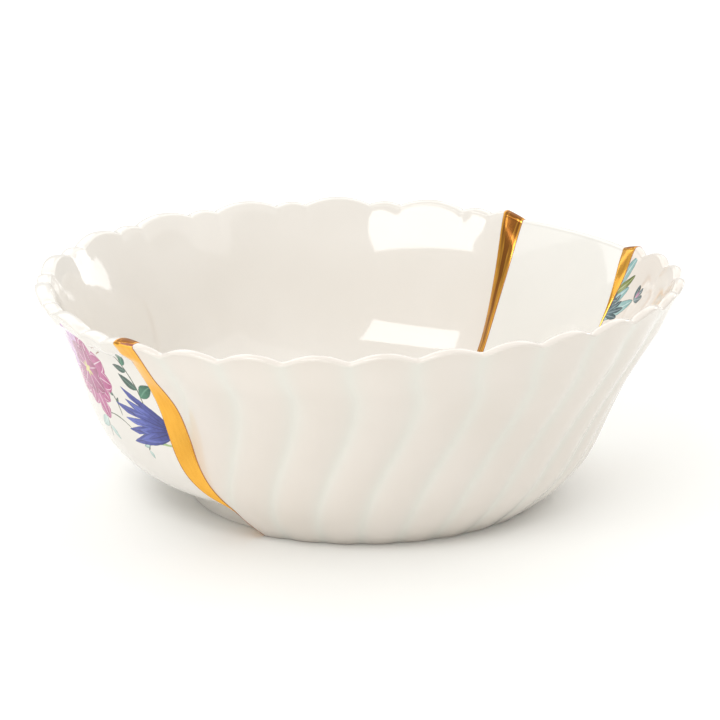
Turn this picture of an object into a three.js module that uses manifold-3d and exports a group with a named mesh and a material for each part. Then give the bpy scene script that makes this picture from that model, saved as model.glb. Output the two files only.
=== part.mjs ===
// Kintsugi bowl: a serving bowl of white glazed porcelain, put together from shards of three wares and
// joined with gold along the breaks. Millimetres, +Z up, origin on the table under the middle of the foot.
// Angles are in degrees and run round the bowl from its front (-Y) towards its right (+X).
import * as THREE from "three";
import { mergeVertices } from "three/addons/utils/BufferGeometryUtils.js";
import Module from "manifold-3d";

// Base and well, shared by the three wares
const GAP = 0.3; // clearance between the gold and each shard
const HUB_RADIUS = 5; // round of gold where the breaks meet
const RECESS = 3; // height of the underside inside the foot
const FLOOR = 7.5; // height of the well
const WELL_RADIUS = 30; // flat part of the well
const FOOT_INNER = 48; // inside radius of the foot
const UNDERSIDE_EDGE = 46; // radius where the underside turns down into the foot

// Stations along a wall, as shares of its length from the heel to the rim. The last ones shape the lip.
const WALL_STATIONS = [0, 0.1, 0.25, 0.4, 0.55, 0.7, 0.82, 0.93, 0.96, 1];
const WELL_SIDE_STATIONS = [0.12, 0.18, 0.24]; // over the foot, as shares of the inside curve's length
const INSIDE_START = 0.3; // share of the inside curve where it comes to face the outside of the wall
const RELIEF_START = 0.86; // share of the wall where the rim's relief begins
const ROUNDING = 1.1; // rise of the rim's rounded edge
const CROWN = [0.25, 0.75]; // places of the rounded edge's two ridges across the rim

// Each ware: the outside from the heel to the rim and the inside from the well to the rim, as the control
// points (radius, height) of a cubic curve, and how its rim leans towards +X and +Y
const SCALLOPED = {
  footRadius: 53.8,
  outside: [[55, 7.5], [92, 13.4], [83.8, 44], [99.3, 65.3]],
  inside: [[WELL_RADIUS, FLOOR], [91.7, FLOOR], [77, 38.3], [96.2, 65.7]],
  lean: [-0.012, 0.02],
  pitch: 360 / 19,
  firstTop: 165.5,
  bumpShare: 0.165, // half the width of the small bump in each notch, as a share of the pitch
  lobeRise: 2.3,
  bumpRise: 1.1,
  fullness: 0.8, // under 1, the lobes are fuller than a half wave
  flare: 0.3, // a lobe stands out by this share of its rise
  lipDepth: 1.7,
  lipStart: 0.93, // the moulded lip stands out between these two shares of the wall
  lipEnd: 0.955,
};
const PLAIN = {
  footRadius: 56,
  outside: [[57, 4], [88.2, 16.4], [76.3, 33.3], [100.2, 67.6]],
  inside: [[WELL_RADIUS, FLOOR], [89.4, FLOOR], [67.8, 27.5], [97.1, 68]],
  lean: [-0.03, 0],
};
const FLUTED = {
  footRadius: 57.9,
  outside: [[58.5, 0.6], [84.4, 19.5], [68.8, 22.7], [101.4, 62.8]],
  inside: [[WELL_RADIUS, FLOOR], [87.2, FLOOR], [58.5, 16.7], [98.2, 63.2]],
  lean: [0.034, -0.045],
  pitch: 360 / 32,
  firstGroove: -35.5,
  lobeRise: 3,
  rimDepth: 1.7, // depth of a groove at the rim
  footDepth: 0.9,
  insideDepth: 0.8,
  sharpness: 0.8, // under 1, the grooves are sharper than the crests
  kick: 1.1, // the flutes lean forward by this angle from the rim down to kickStart
  kickStart: 55,
  sweep: 10.2, // and sweep back by this angle from there down to sweepEnd
  sweepEnd: 5,
};

// Courses of the three breaks: angle and width of the gold, at equal steps of radius plus height
const COURSE_START = 10; // radius plus height at the first knot, beside the hub
const COURSE_END = 170; // and at the last, on the rim
const LEFT_SEAM = [[-29, 1.4], [-30, 1.4], [-32.5, 1.4], [-38.6, 1.3], [-39.2, 5.2], [-43, 7.8]];
const RIGHT_SEAM = [[105, 1.3], [106.5, 1.3], [108, 1.3], [110, 1.3], [112, 1.3], [116.6, 7.4]];
const BACK_SEAM = [[152, 1.6], [151.5, 1.6], [150.3, 1.8], [148.2, 3.4], [147.1, 5.2], [147.8, 7]];
const GOLD_PROUD = 0.35; // the gold stands this far out of the glaze along its middle
const GOLD_COLUMNS = 3;
const HUB_SIDES = 24;
const HUB_OVERLAP = 1; // the arms run this far into the hub

// Columns of facets
const COLUMNS_PER_FLUTE = 5;
const COLUMNS_PER_LOBE = 5;
const PLAIN_COLUMNS = 7;
const FIRST_FREE_COLUMN = -19.75; // flutes between these two keep their own columns
const LAST_FREE_COLUMN = 106.25;
const LEFT_ZONE_COLUMNS = 9;
const RIGHT_ZONE_COLUMNS = 4;
const LEAST_COLUMN = 1; // no column of a lobe comes nearer to a seam, in degrees
const SAME_POINT = 1e-4; // corners nearer than this are one

// Finishes
const PORCELAIN = { color: 0xf3efe9, roughness: 0.12, metalness: 0 };
const GOLD = { color: 0xe0a63c, roughness: 0.25, metalness: 1 };

const wasm = await Module();
wasm.setup();

const lerp = THREE.MathUtils.lerp;
const smoothstep = THREE.MathUtils.smoothstep;

// A cubic curve of (radius, height) through its four control points
function profile(points) {
  const [start, pullOut, pullIn, end] = points.map(([radius, height]) => new THREE.Vector2(radius, height));
  return new THREE.CubicBezierCurve(start, pullOut, pullIn, end);
}

// Share of one pitch that an angle has run since a lobe began
function phaseOf(angle, start, pitch) {
  const turns = (angle - start) / pitch;
  return turns - Math.floor(turns);
}

// A flute's swell, 0 in a groove and 1 on a crest
function flute(angle) {
  const phase = phaseOf(angle, FLUTED.firstGroove, FLUTED.pitch);
  return Math.abs(Math.sin(Math.PI * phase)) ** FLUTED.sharpness;
}

// How far the flutes have turned at a height, against their angle at the rim
function swirl(height) {
  const forward = FLUTED.kick * (1 - smoothstep(height, FLUTED.kickStart, FLUTED.outside[3][1]));
  const back = FLUTED.sweep * (1 - smoothstep(height, FLUTED.sweepEnd, FLUTED.kickStart));
  return forward - back;
}

// Rise of the scalloped rim: a broad lobe and, in the notch between two lobes, a small bump
function scallop(angle) {
  const phase = phaseOf(angle, SCALLOPED.firstTop - SCALLOPED.pitch / 2, SCALLOPED.pitch);
  const fromNotch = Math.min(phase, 1 - phase);
  if (fromNotch < SCALLOPED.bumpShare) {
    return SCALLOPED.bumpRise * Math.cos((Math.PI / 2) * (fromNotch / SCALLOPED.bumpShare));
  }
  const across = (phase - SCALLOPED.bumpShare) / (1 - 2 * SCALLOPED.bumpShare);
  return SCALLOPED.lobeRise * Math.sin(Math.PI * across) ** SCALLOPED.fullness;
}

// What a ware's relief adds at a wall station: how far out, how far up, and how far out on the inside
function relief(ware, station, angle, height) {
  const nearRim = smoothstep(station, RELIEF_START, 1);
  if (ware === FLUTED) {
    const swell = flute(angle - swirl(height));
    const depth = lerp(FLUTED.footDepth, FLUTED.rimDepth, station);
    const groove = swell - 1;
    const inside = groove * FLUTED.insideDepth * station;
    return { out: groove * depth, up: swell * FLUTED.lobeRise * nearRim, inside };
  }
  if (ware === SCALLOPED) {
    const rise = scallop(angle) * nearRim;
    const lip = SCALLOPED.lipDepth * smoothstep(station, SCALLOPED.lipStart, SCALLOPED.lipEnd);
    const flare = rise * SCALLOPED.flare;
    return { out: lip + flare, up: rise, inside: flare };
  }
  return { out: 0, up: 0, inside: 0 };
}

// One edge of a seam, on the side given by the sign and less a margin: its angle at a radius and height.
// A break is one surface through the walls, so its course depends on the place and not on the ware.
function seamEdge(knots, sign, margin = 0) {
  const course = new THREE.SplineCurve(knots.map(([angle, width]) => new THREE.Vector2(angle, width)));
  return (radius, height) => {
    const run = (radius + height - COURSE_START) / (COURSE_END - COURSE_START);
    const { x: angle, y: width } = course.getPoint(THREE.MathUtils.clamp(run, 0, 1));
    return angle + sign * THREE.MathUtils.radToDeg((width / 2 - margin) / radius);
  };
}

// One cut through a ware's wall, as points of radius (x) and height (y): the outside from the hub to the
// rim, the rounded rim, and the inside back to the hub. angleAt gives its angle at a radius and height.
function cut(ware, hubRadius, angleAt) {
  const outsideCurve = profile(ware.outside);
  const insideCurve = profile(ware.inside);
  const grooved = ware === FLUTED ? flute(angleAt(ware.footRadius, 0) - swirl(0)) - 1 : 0;
  const outside = [
    [hubRadius, RECESS],
    [WELL_RADIUS, RECESS],
    [UNDERSIDE_EDGE, RECESS],
    [FOOT_INNER, 0],
    [ware.footRadius + grooved * FLUTED.footDepth, 0],
  ].map(([radius, height]) => new THREE.Vector2(radius, height));
  const inside = [new THREE.Vector2(hubRadius, FLOOR), new THREE.Vector2(WELL_RADIUS, FLOOR)];
  inside.push(...WELL_SIDE_STATIONS.map((station) => insideCurve.getPointAt(station)));
  for (const station of WALL_STATIONS) {
    const out = outsideCurve.getPointAt(station);
    const into = insideCurve.getPointAt(lerp(INSIDE_START, 1, station));
    const angle = angleAt(out.x, out.y);
    const shape = relief(ware, station, angle, out.y);
    const [leanX, leanY] = ware.lean;
    const turn = THREE.MathUtils.degToRad(angle);
    const lean = (leanX * Math.sin(turn) - leanY * Math.cos(turn)) * out.x * station ** 3;
    outside.push(out.add(new THREE.Vector2(shape.out, shape.up + lean)));
    inside.push(into.add(new THREE.Vector2(shape.inside, shape.up + lean)));
  }
  const crown = CROWN.map((across) => {
    const point = outside.at(-1).clone().lerp(inside.at(-1), across);
    return point.setY(point.y + ROUNDING);
  });
  return [...outside, ...crown, ...inside.reverse()];
}

// A cut's points in space
function place(points, angleAt) {
  return points.map(({ x: radius, y: height }) => {
    const angle = THREE.MathUtils.degToRad(angleAt(radius, height));
    return new THREE.Vector3(radius * Math.sin(angle), -radius * Math.cos(angle), height);
  });
}

// A closed body through a row of cuts that run round the bowl: its skin, and a cap on the first and last cut
function sweep(cuts) {
  const ring = cuts[0].length;
  const index = [];
  for (let column = 0; column + 1 < cuts.length; column += 1) {
    for (let row = 0; row < ring; row += 1) {
      const next = (row + 1) % ring;
      const here = column * ring;
      const there = here + ring;
      index.push(here + row, there + row, there + next);
      index.push(here + row, there + next, here + next);
    }
  }
  const last = (cuts.length - 1) * ring;
  for (let row = 0; row < ring / 2 - 1; row += 1) {
    const facing = ring - 1 - row;
    index.push(row, row + 1, facing - 1, row, facing - 1, facing);
    index.push(last + row, last + facing - 1, last + row + 1, last + row, last + facing, last + facing - 1);
  }
  const geometry = new THREE.BufferGeometry().setFromPoints(cuts.flat());
  geometry.setIndex(index);
  geometry.computeVertexNormals();
  return geometry;
}

// A shard of a ware: each column gives its angle at a radius and height
function shard(ware, columns) {
  return sweep(columns.map((angleAt) => place(cut(ware, HUB_RADIUS, angleAt), angleAt)));
}

// Columns that share out the room between two edges. Each share runs from 0 at the first to 1 at the last.
function between(first, last, shares) {
  return shares.map((across) => (...at) => lerp(first(...at), last(...at), across));
}

function equalShares(count) {
  return Array.from({ length: count + 1 }, (_, index) => index / count);
}

function scallopedShard() {
  const { firstTop, pitch, bumpShare } = SCALLOPED;
  const rim = SCALLOPED.outside[3];
  const first = seamEdge(BACK_SEAM, 1);
  const leftEdge = seamEdge(LEFT_SEAM, -1);
  const last = (radius, height) => leftEdge(radius, height) + 360;
  const start = first(...rim);
  const end = last(...rim);
  const angles = [];
  for (let notch = firstTop - 1.5 * pitch; notch < end; notch += pitch) {
    angles.push(notch);
    for (const across of equalShares(COLUMNS_PER_LOBE)) {
      angles.push(notch + pitch * lerp(bumpShare, 1 - bumpShare, across));
    }
  }
  const clear = angles.filter((angle) => angle > start + LEAST_COLUMN && angle < end - LEAST_COLUMN);
  const shares = [start, ...clear, end].map((angle) => (angle - start) / (end - start));
  return shard(SCALLOPED, between(first, last, shares));
}

function plainShard() {
  const first = seamEdge(RIGHT_SEAM, 1);
  const last = seamEdge(BACK_SEAM, -1);
  return shard(PLAIN, between(first, last, equalShares(PLAIN_COLUMNS)));
}

// Inside the foot, where there are no flutes to follow, the columns spread out evenly between the edges, so
// that none of them cross
function spreadInside(columns) {
  const first = columns[0];
  const last = columns.at(-1);
  return columns.map((column, index) => (radius, height) => {
    const outer = Math.max(radius, UNDERSIDE_EDGE);
    const start = first(outer, height);
    const followed = (column(outer, height) - start) / (last(outer, height) - start);
    const even = index / (columns.length - 1);
    const share = lerp(even, followed, smoothstep(radius, WELL_RADIUS, UNDERSIDE_EDGE));
    return lerp(first(radius, height), last(radius, height), share);
  });
}

function flutedShard() {
  const step = FLUTED.pitch / COLUMNS_PER_FLUTE;
  const free = [];
  for (let angle = FIRST_FREE_COLUMN; angle < LAST_FREE_COLUMN + step / 2; angle += step) {
    free.push((radius, height) => angle + swirl(height));
  }
  const leftZone = between(seamEdge(LEFT_SEAM, 1), free[0], equalShares(LEFT_ZONE_COLUMNS));
  const rightZone = between(free.at(-1), seamEdge(RIGHT_SEAM, -1), equalShares(RIGHT_ZONE_COLUMNS));
  return shard(FLUTED, spreadInside([...leftZone.slice(0, -1), ...free, ...rightZone.slice(1)]));
}

// An arm of gold between two shards. It takes its shape at each edge from the ware there, and stands proud
// of the glaze between them, but not below the foot.
function goldArm(knots, wareBefore, wareAfter) {
  const innerEnd = HUB_RADIUS - GAP - HUB_OVERLAP;
  const before = seamEdge(knots, -1, GAP);
  const after = seamEdge(knots, 1, GAP);
  const edgeBefore = place(cut(wareBefore, innerEnd, before), before);
  const edgeAfter = place(cut(wareAfter, innerEnd, after), after);
  const cuts = equalShares(GOLD_COLUMNS).map((across) => {
    const row = edgeBefore.map((point, index) => point.clone().lerp(edgeAfter[index], across));
    const proud = GOLD_PROUD * Math.sin(Math.PI * across);
    return row.map((point, index) => {
      const previous = row[(index + row.length - 1) % row.length];
      const next = row[(index + 1) % row.length];
      const along = next.clone().sub(previous);
      const round = new THREE.Vector3(-point.y, point.x, 0);
      const raised = point.clone().addScaledVector(round.cross(along).normalize(), proud);
      return raised.setZ(Math.max(raised.z, 0));
    });
  });
  return sweep(cuts);
}

// The round of gold where the three arms meet in the well
function goldHub() {
  const radius = HUB_RADIUS - GAP;
  const outline = [
    [0, RECESS - GOLD_PROUD],
    [radius, RECESS],
    [radius, FLOOR],
    [0, FLOOR + 2 * GOLD_PROUD],
  ];
  const hub = new THREE.LatheGeometry(outline.map(([x, y]) => new THREE.Vector2(x, y)), HUB_SIDES);
  return hub.rotateX(Math.PI / 2);
}

// Closed meshes joined into one
function join(geometries) {
  const solids = geometries.map((geometry) => {
    const bare = geometry.clone();
    bare.deleteAttribute("normal");
    bare.deleteAttribute("uv");
    const merged = mergeVertices(bare, SAME_POINT);
    const vertProperties = merged.attributes.position.array;
    return new wasm.Manifold(new wasm.Mesh({ numProp: 3, vertProperties, triVerts: merged.index.array }));
  });
  const { vertProperties, triVerts } = solids.reduce((joined, solid) => joined.add(solid)).getMesh();
  const geometry = new THREE.BufferGeometry();
  geometry.setAttribute("position", new THREE.BufferAttribute(vertProperties, 3));
  geometry.setIndex(new THREE.BufferAttribute(triVerts, 1));
  geometry.computeVertexNormals();
  return geometry;
}

function named(name, geometry, finish) {
  const mesh = new THREE.Mesh(geometry, new THREE.MeshStandardMaterial(finish));
  mesh.name = name;
  return mesh;
}

const arms = [
  goldArm(LEFT_SEAM, SCALLOPED, FLUTED),
  goldArm(RIGHT_SEAM, FLUTED, PLAIN),
  goldArm(BACK_SEAM, PLAIN, SCALLOPED),
];

const bowl = new THREE.Group();
bowl.add(named("shard_scalloped", scallopedShard(), PORCELAIN));
bowl.add(named("shard_plain", plainShard(), PORCELAIN));
bowl.add(named("shard_fluted", flutedShard(), PORCELAIN));
bowl.add(named("gold_seam", join([...arms, goldHub()]), GOLD));

export default bowl;
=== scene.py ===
"""Looks of a kintsugi bowl: three shards of glazed porcelain from three wares, joined with gold.

Millimetres in the shapes, turned to metres when a mesh is made. Angles are in degrees and run
round the bowl from its front (-Y) towards its right (+X).
"""

import functools
import logging
import math
from dataclasses import dataclass
from enum import Enum
from typing import Any, Callable, Optional, Sequence

import bpy
import numpy as np
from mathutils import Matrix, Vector


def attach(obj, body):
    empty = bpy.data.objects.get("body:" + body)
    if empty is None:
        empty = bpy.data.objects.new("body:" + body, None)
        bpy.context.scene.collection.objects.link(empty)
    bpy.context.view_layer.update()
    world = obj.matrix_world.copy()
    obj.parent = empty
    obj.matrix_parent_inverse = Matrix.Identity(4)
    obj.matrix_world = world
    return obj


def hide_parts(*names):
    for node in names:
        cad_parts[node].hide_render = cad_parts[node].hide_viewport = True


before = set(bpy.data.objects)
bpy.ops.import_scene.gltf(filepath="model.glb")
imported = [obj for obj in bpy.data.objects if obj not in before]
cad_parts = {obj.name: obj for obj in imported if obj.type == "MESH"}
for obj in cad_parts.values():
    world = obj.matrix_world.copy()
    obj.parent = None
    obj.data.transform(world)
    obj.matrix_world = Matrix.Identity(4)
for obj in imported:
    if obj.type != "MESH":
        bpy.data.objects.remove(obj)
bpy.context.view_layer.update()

logging.basicConfig(level=logging.INFO, format="%(message)s")
LOG = logging.getLogger("kintsugi_bowl")

Array = np.ndarray
Edge = Callable[[Array, Array], Array]
Point = tuple[float, float]
Curve = tuple[Point, Point, Point, Point]

MM = 0.001
FIT = np.array([0.9997, 0.9997, 1.0])  # keeps the smooth skins inside the box of the part's facets
BODY = "root"

CURVE_STEPS = 800  # straight steps that a wall's curve is measured in
HANDLE_SHARE = 0.75  # a cubic curve rises by this share of its two handles, when they are alike
MOST_ROUNDED = 0.45  # share of a side that a rounding may take, so that two never meet
CREASE = 48  # an edge is drawn sharp where its faces turn by more than this
UNDER_WALL = -1.0  # stands for the place up the wall of whatever lies under the wall
BARE_SLOT, PAINTED_SLOT = 1, 2  # a shard's second and third material

WALL, POOL_AND_SHEEN, SEAM = "wall_mm", "glaze_pool_and_sheen", "seam_mm"  # what the finishes read at each point
MATH, MIX, NOISE = "ShaderNodeMath", "ShaderNodeMix", "ShaderNodeTexNoise"
MIX_FROM, MIX_TO = 6, 7  # a colour mix's two colours, which share their names with other inputs
COLOUR, NUMBER = "NodeSocketColor", "NodeSocketFloat"


def smoothstep(value: Array, low: float, high: float) -> Array:
    """A smooth rise from 0 at low to 1 at high."""
    share = np.clip((np.asarray(value, float) - low) / (high - low), 0, 1)
    return share * share * (3 - 2 * share)


def linear_colour(code: str) -> tuple[float, float, float, float]:
    """Turns an sRGB colour into the linear one that a shader takes.

    Args:
        code: the colour as six hex digits, with or without a leading mark.

    Returns:
        Linear red, green and blue, and an alpha of 1.
    """
    digits = code.lstrip("#")
    shares = [int(digits[at:at + 2], 16) / 255 for at in (0, 2, 4)]
    red, green, blue = (s / 12.92 if s <= 0.04045 else ((s + 0.055) / 1.055) ** 2.4 for s in shares)
    return red, green, blue, 1.0


def along_curve(points: Curve, shares: Array) -> Array:
    """Points on a cubic curve, at shares of its length.

    Args:
        points: the curve's four control points, as radius and height.
        shares: shares of the length, from 0 at the start to 1 at the end.

    Returns:
        One row of radius and height for each share.
    """
    start, pull_out, pull_in, end = np.array(points, float)
    t = np.linspace(0, 1, CURVE_STEPS + 1)[:, None]
    rest = 1 - t
    path = rest ** 3 * start + 3 * rest ** 2 * t * pull_out + 3 * rest * t ** 2 * pull_in
    path = path + t ** 3 * end
    run = np.concatenate([[0], np.cumsum(np.hypot(*np.diff(path, axis=0).T))])
    places = np.asarray(shares) * run[-1]
    return np.stack([np.interp(places, run, path[:, axis]) for axis in (0, 1)], axis=-1)


def length_of(points: Curve) -> float:
    """The length of a cubic curve in millimetres."""
    path = along_curve(points, np.linspace(0, 1, CURVE_STEPS // 2 + 1))
    return float(np.hypot(*np.diff(path, axis=0).T).sum())


class Side(Enum):
    """A side of the bowl's wall, with its number in the wall's coordinates."""

    OUTSIDE = 1
    INSIDE = -1


@dataclass(frozen=True)
class Relief:
    """What a ware's relief adds at each point: outwards, upwards, and outwards on the inside."""

    out: Array
    up: Array
    inside: Array


@dataclass(frozen=True)
class Base:
    """The foot and the well, which the three wares share."""

    hub_radius: float = 5.0
    recess: float = 3.0
    floor: float = 7.5
    well_radius: float = 30.0
    foot_inner: float = 48.0
    underside_edge: float = 46.0
    plain_ring: float = 2.0  # width of the foot, from its inner edge, that the flutes don't reach
    inside_start: float = 0.3  # share of the inside curve that faces the heel of the outside
    well_rows: int = 4  # rows between the hub and the well's edge
    corner_steps: int = 6  # rows round each rounded corner
    corner_radii: tuple[float, ...] = (1.2, 0.6, 0.5, 1.2)  # glaze rounds the underside, foot, heel


BASE = Base()


@dataclass(frozen=True)
class Ware:
    """A ware that a shard comes from: its wall's curves, and its rim's lean towards +X and +Y."""

    foot_radius: float
    outside: Curve
    inside: Curve
    lean: Point
    wall_rows: int = 96
    first_station: float = 0.014  # the wall's rows start here, past the rounded heel
    gathering: float = 1.35  # how much closer together the rows lie at the lip, 1 being evenly

    def relief(self, station: Array, angle: Array, height: Array) -> Relief:
        """A smooth wall, with no relief."""
        flat = np.zeros(np.broadcast(station, angle, height).shape)
        return Relief(flat, flat, flat)

    def pool_and_sheen_share(self, angle: Array, height: Array) -> Array:
        """How deep in a groove each point lies, which tints it as glaze run together there and as a
        painted cool reflection.
        """
        return np.zeros(np.shape(angle))

    def stations(self) -> Array:
        """The rows' places on the wall, from the heel to the rim, closer together at the lip.

        Returns:
            A share of the outside curve for each row.
        """
        even = np.linspace(0, 1, self.wall_rows)
        gathered = 1 - (1 - even) ** self.gathering
        return self.first_station + (1 - self.first_station) * gathered

    def rise_of_lean(self, angle: Array, radius: Array, station: Array) -> Array:
        """How much higher the leaning rim is at an angle."""
        turn = np.radians(angle)
        return (self.lean[0] * np.sin(turn) - self.lean[1] * np.cos(turn)) * radius * station ** 3


@dataclass(frozen=True)
class FlutedWare(Ware):
    """A ware of swirled flutes, with a rim that rises over each."""

    pitch: float = 360 / 32
    first_groove: float = -35.5
    lobe_rise: float = 3.0
    rim_depth: float = 1.7
    foot_depth: float = 0.9
    inside_depth: float = 0.8
    sharpness: float = 0.8
    glaze_in_groove: float = 0.16  # the glaze fills this share of the groove's sharp bottom
    pool_and_sheen_width: float = 1.2  # how far up the groove's sides the tint shows: glaze that has run, and a painted cool reflection
    kick: float = 1.1
    kick_start: float = 55.0
    sweep: float = 10.2
    sweep_end: float = 5.0
    relief_start: float = 0.86

    def swirl(self, height: Array) -> Array:
        """How far the flutes have turned at a height, against their angle at the rim.

        Args:
            height: heights over the table.

        Returns:
            Angles in degrees.
        """
        forward = self.kick * (1 - smoothstep(height, self.kick_start, self.outside[3][1]))
        back = self.sweep * (1 - smoothstep(height, self.sweep_end, self.kick_start))
        return forward - back

    def swell(self, angle: Array) -> Array:
        """A flute's swell.

        Args:
            angle: angles round the bowl, with the swirl taken off.

        Returns:
            Near 0 in a groove and 1 on a crest.
        """
        phase = np.mod((angle - self.first_groove) / self.pitch, 1)
        wave = np.sin(np.pi * phase) ** 2
        soft = self.glaze_in_groove ** 2
        top = (1 + soft) ** (self.sharpness / 2)
        return (wave + soft) ** (self.sharpness / 2) / top

    def pool_and_sheen_share(self, angle: Array, height: Array) -> Array:
        """How deep in a groove each point lies, which tints it as glaze run together there and as a
        painted cool reflection.
        """
        depth = (1 - self.swell(angle - self.swirl(height))) ** 2
        return np.minimum(self.pool_and_sheen_width * depth, 1.0)

    def relief(self, station: Array, angle: Array, height: Array) -> Relief:
        """The flutes, deepest at the rim, and the lobes that they make of it.

        Args:
            station: places up the wall, 0 at the heel and 1 at the rim.
            angle: angles round the bowl.
            height: heights over the table.

        Returns:
            What the relief adds.
        """
        swell = self.swell(angle - self.swirl(height))
        groove = swell - 1
        depth = self.foot_depth + (self.rim_depth - self.foot_depth) * station
        lobe = swell * self.lobe_rise * smoothstep(station, self.relief_start, 1)
        return Relief(groove * depth, lobe, groove * self.inside_depth * station)


@dataclass(frozen=True)
class ScallopedWare(Ware):
    """A smooth ware with a moulded lip and a scalloped rim, with a small bump in each notch."""

    pitch: float = 360 / 19
    first_top: float = 165.5
    bump_share: float = 0.165
    lobe_rise: float = 2.3
    bump_rise: float = 1.1
    fullness: float = 0.8
    flare: float = 0.3
    lip_depth: float = 1.7
    lip_start: float = 0.925
    lip_end: float = 0.96
    relief_start: float = 0.86

    def scallop(self, angle: Array) -> Array:
        """The rise of the rim.

        Args:
            angle: angles round the bowl.

        Returns:
            Rises in millimetres.
        """
        phase = np.mod((angle - self.first_top) / self.pitch + 0.5, 1)
        from_notch = np.minimum(phase, 1 - phase)
        bump = self.bump_rise * np.cos(np.pi / 2 * np.clip(from_notch / self.bump_share, 0, 1))
        across = np.clip((phase - self.bump_share) / (1 - 2 * self.bump_share), 0, 1)
        lobe = self.lobe_rise * np.sin(np.pi * across) ** self.fullness
        return np.where(from_notch < self.bump_share, bump, lobe)

    def relief(self, station: Array, angle: Array, height: Array) -> Relief:
        """The lip's step and the rim's lobes.

        Args:
            station: places up the wall, 0 at the heel and 1 at the rim.
            angle: angles round the bowl.
            height: heights over the table. Not used.

        Returns:
            What the relief adds.
        """
        rise = self.scallop(angle) * smoothstep(station, self.relief_start, 1)
        lip = self.lip_depth * smoothstep(station, self.lip_start, self.lip_end)
        return Relief(lip + rise * self.flare, rise, rise * self.flare)


@dataclass(frozen=True)
class Seam:
    """A break between two shards, as angle and width at equal steps of radius plus height."""

    knots: tuple[Point, ...]
    course_start: float = 10.0
    course_end: float = 170.0

    def at(self, radius: Array, height: Array) -> tuple[Array, Array]:
        """The course's angle and the gold's width at places on the wall.

        Args:
            radius: distance from the bowl's axis.
            height: height over the table.

        Returns:
            Angles in degrees and widths in millimetres.
        """
        knots = np.array(self.knots, float)
        last = len(knots) - 1
        run = (radius + height - self.course_start) / (self.course_end - self.course_start)
        run = np.clip(run, 0, 1) * last
        index = np.minimum(run.astype(int), last)
        t = (run - index)[..., None]
        before, here = knots[np.maximum(index - 1, 0)], knots[index]
        after, beyond = (knots[np.minimum(index + step, last)] for step in (1, 2))
        pull_here, pull_after = (after - before) / 2, (beyond - here) / 2
        cubic = (2 * here - 2 * after + pull_here + pull_after) * t ** 3
        square = (-3 * here + 3 * after - 2 * pull_here - pull_after) * t ** 2
        found = cubic + square + pull_here * t + here
        return found[..., 0], found[..., 1]

    def edge(self, sign: float, margin: float = 0.0, turns: float = 0.0) -> Edge:
        """One edge of the seam.

        Args:
            sign: -1 for the edge at smaller angles and 1 for the other.
            margin: how far inside the edge the line runs, in millimetres. Negative is outside.
            turns: whole turns added to the angle.

        Returns:
            A function of radius and height that gives the edge's angle.
        """
        def angle_at(radius: Array, height: Array) -> Array:
            """The edge's angle at places on the wall."""
            angle, width = self.at(radius, height)
            return angle + 360 * turns + sign * np.degrees((width / 2 - margin) / radius)

        return angle_at


@dataclass(frozen=True)
class Columns:
    """Columns of a shard's surface: each keeps its share of the room between the shard's edges."""

    first: Edge
    last: Edge
    shares: Array

    def angles(self, radius: Array, height: Array) -> Array:
        """Angles of every column at places on the wall.

        Args:
            radius: radii, for each row, or for each column and row.
            height: heights of the same shape.

        Returns:
            An array of columns by rows.
        """
        radius, height = np.atleast_2d(radius), np.atleast_2d(height)
        start, end = self.first(radius, height), self.last(radius, height)
        return start + (end - start) * self.shares_at(radius, height)

    def shares_at(self, radius: Array, height: Array) -> Array:
        """The columns' shares of the room, from 0 at the first edge to 1 at the last."""
        return self.shares[:, None]


@dataclass(frozen=True)
class SwirledColumns(Columns):
    """Columns that follow the flutes' swirl, and turn to follow the seams near them.

    Inside the foot, where there are no flutes, they spread out evenly.
    """

    free_angle: Array
    to_first: Array
    to_last: Array
    swirl: Callable[[Array], Array]

    def shares_at(self, radius: Array, height: Array) -> Array:
        """The columns' shares of the room, at places on the wall.

        Args:
            radius: radii, for each row, or for each column and row.
            height: heights of the same shape.

        Returns:
            Shares from 0 at the first edge to 1 at the last, columns by rows.
        """
        outer = np.maximum(radius, BASE.underside_edge)
        start, end = self.first(outer, height), self.last(outer, height)
        to_first, to_last, even = (
            column[:, None] for column in (self.to_first, self.to_last, self.shares)
        )
        free = (1 - to_first - to_last) * (self.free_angle[:, None] + self.swirl(height))
        followed = (to_first * start + to_last * end + free - start) / (end - start)
        return even + (followed - even) * smoothstep(radius, BASE.well_radius, BASE.underside_edge)


@dataclass(frozen=True)
class Surface:
    """A body's skin: a closed ring of points for each column, with what the finishes read there."""

    points: Array  # columns by rows by 3, in millimetres
    wall: Array  # columns by rows by 3: round the bowl, up the wall, and 1 outside or -1 inside
    bare: Array  # columns by rows: true on the unglazed ring of the foot
    pool: Array  # columns by rows: how deep in a groove, 0 to 1, for the tint of run glaze and painted cool reflection


def rounded_line(corners: Sequence[Point], radii: Sequence[float], steps: int) -> Array:
    """A line through corners, with each inner corner rounded.

    Args:
        corners: the line's points, as radius and height.
        radii: how far each rounding runs along its two sides.
        steps: points round each corner.

    Returns:
        The line's points, with the first corner and the last.
    """
    line = [np.array(corners[0], float)]
    for before, corner, after, reach in zip(corners, corners[1:], corners[2:], radii):
        before, corner, after = (np.array(point, float) for point in (before, corner, after))
        sides = [point - corner for point in (before, after)]
        near, far = (
            corner + side * min(reach / np.hypot(*side), MOST_ROUNDED) for side in sides
        )
        for t in np.linspace(0, 1, steps):
            line.append((1 - t) ** 2 * near + 2 * (1 - t) * t * corner + t * t * far)
    line.append(np.array(corners[-1], float))
    return np.array(line)


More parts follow.
